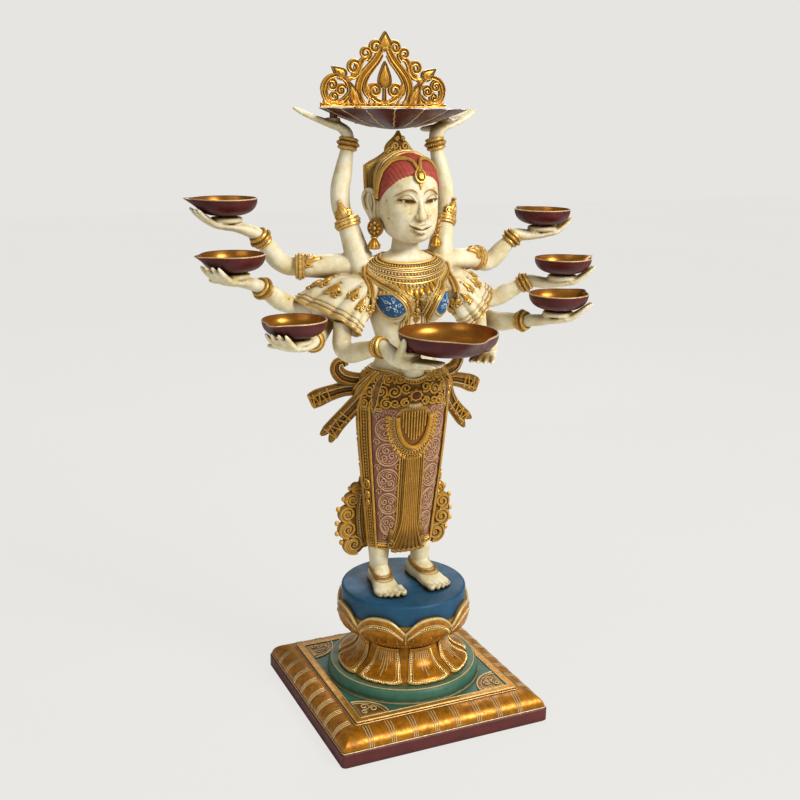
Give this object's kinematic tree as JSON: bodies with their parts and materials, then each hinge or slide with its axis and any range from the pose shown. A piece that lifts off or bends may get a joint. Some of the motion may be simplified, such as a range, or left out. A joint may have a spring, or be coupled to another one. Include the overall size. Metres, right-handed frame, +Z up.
{
  "type": "oil lamp figure",
  "caption": "Standing painted metal lamp figure whose arms hold swivelling oil bowls, a front bowl and a crested fluted tray, on a lotus pedestal and square plinth.",
  "frame": {"origin": "middle of the plinth's underside, on the surface that the lamp stands on", "axes": "+Z up, the figure faces -Y, +X towards the right as seen from in front"},
  "size_m": [0.4541, 0.282, 0.7239],
  "materials": {
    "ivory_paint": "worn satin paint",
    "gold_paint": "antiqued gold paint",
    "maroon_paint": "satin paint",
    "green_paint": "satin paint",
    "blue_paint": "satin paint",
    "rose_paint": "antiqued paint",
    "brass": "turned"
  },
  "bodies": {
    "figure": {"plinth": "maroon_paint", "round_step": "green_paint", "lower_lotus": "gold_paint", "waist_ring": "gold_paint", "upper_lotus": "gold_paint", "footing_disc": "blue_paint", "tie_rod": "brass", "tie_washer": "brass", "tie_nut": "brass", "left_leg": "ivory_paint", "right_leg": "ivory_paint", "skirt": "rose_paint", "left_hem_scroll": "gold_paint", "right_hem_scroll": "gold_paint", "left_sash": "gold_paint", "right_sash": "gold_paint", "torso": "ivory_paint", "head": "ivory_paint", "crown": "gold_paint", "left_earring": "gold_paint", "right_earring": "gold_paint", "left_raised_arm": "ivory_paint", "right_raised_arm": "ivory_paint", "left_high_arm": "ivory_paint", "right_high_arm": "ivory_paint", "left_middle_arm": "ivory_paint", "right_middle_arm": "ivory_paint", "left_low_arm": "ivory_paint", "right_low_arm": "ivory_paint", "left_front_arm": "ivory_paint", "right_front_arm": "ivory_paint", "left_high_stud": "brass", "right_high_stud": "brass", "left_middle_stud": "brass", "right_middle_stud": "brass", "left_low_stud": "brass", "right_low_stud": "brass", "front_bowl": "maroon_paint", "front_bowl_pins": "brass", "top_tray": "maroon_paint", "tray_pins": "brass", "crest": "gold_paint", "crest_screws": "brass"},
    "left_high_lamp": {"left_high_bowl": "maroon_paint"},
    "right_high_lamp": {"right_high_bowl": "maroon_paint"},
    "left_middle_lamp": {"left_middle_bowl": "maroon_paint"},
    "right_middle_lamp": {"right_middle_bowl": "maroon_paint"},
    "left_low_lamp": {"left_low_bowl": "maroon_paint"},
    "right_low_lamp": {"right_low_bowl": "maroon_paint"}
  },
  "joints": [
    {"name": "left_high_swivel", "type": "hinge", "parent": "figure", "child": "left_high_lamp", "pos_m": [-0.181, 0.034, 0.541], "axis": [0, 0, 1], "continuous": true},
    {"name": "right_high_swivel", "type": "hinge", "parent": "figure", "child": "right_high_lamp", "pos_m": [0.181, 0.034, 0.521], "axis": [0, 0, 1], "continuous": true},
    {"name": "left_middle_swivel", "type": "hinge", "parent": "figure", "child": "left_middle_lamp", "pos_m": [-0.186, -0.005, 0.491], "axis": [0, 0, 1], "continuous": true},
    {"name": "right_middle_swivel", "type": "hinge", "parent": "figure", "child": "right_middle_lamp", "pos_m": [0.186, -0.005, 0.471], "axis": [0, 0, 1], "continuous": true},
    {"name": "left_low_swivel", "type": "hinge", "parent": "figure", "child": "left_low_lamp", "pos_m": [-0.145, -0.064, 0.435], "axis": [0, 0, 1], "continuous": true},
    {"name": "right_low_swivel", "type": "hinge", "parent": "figure", "child": "right_low_lamp", "pos_m": [0.145, -0.064, 0.443], "axis": [0, 0, 1], "continuous": true}
  ]
}
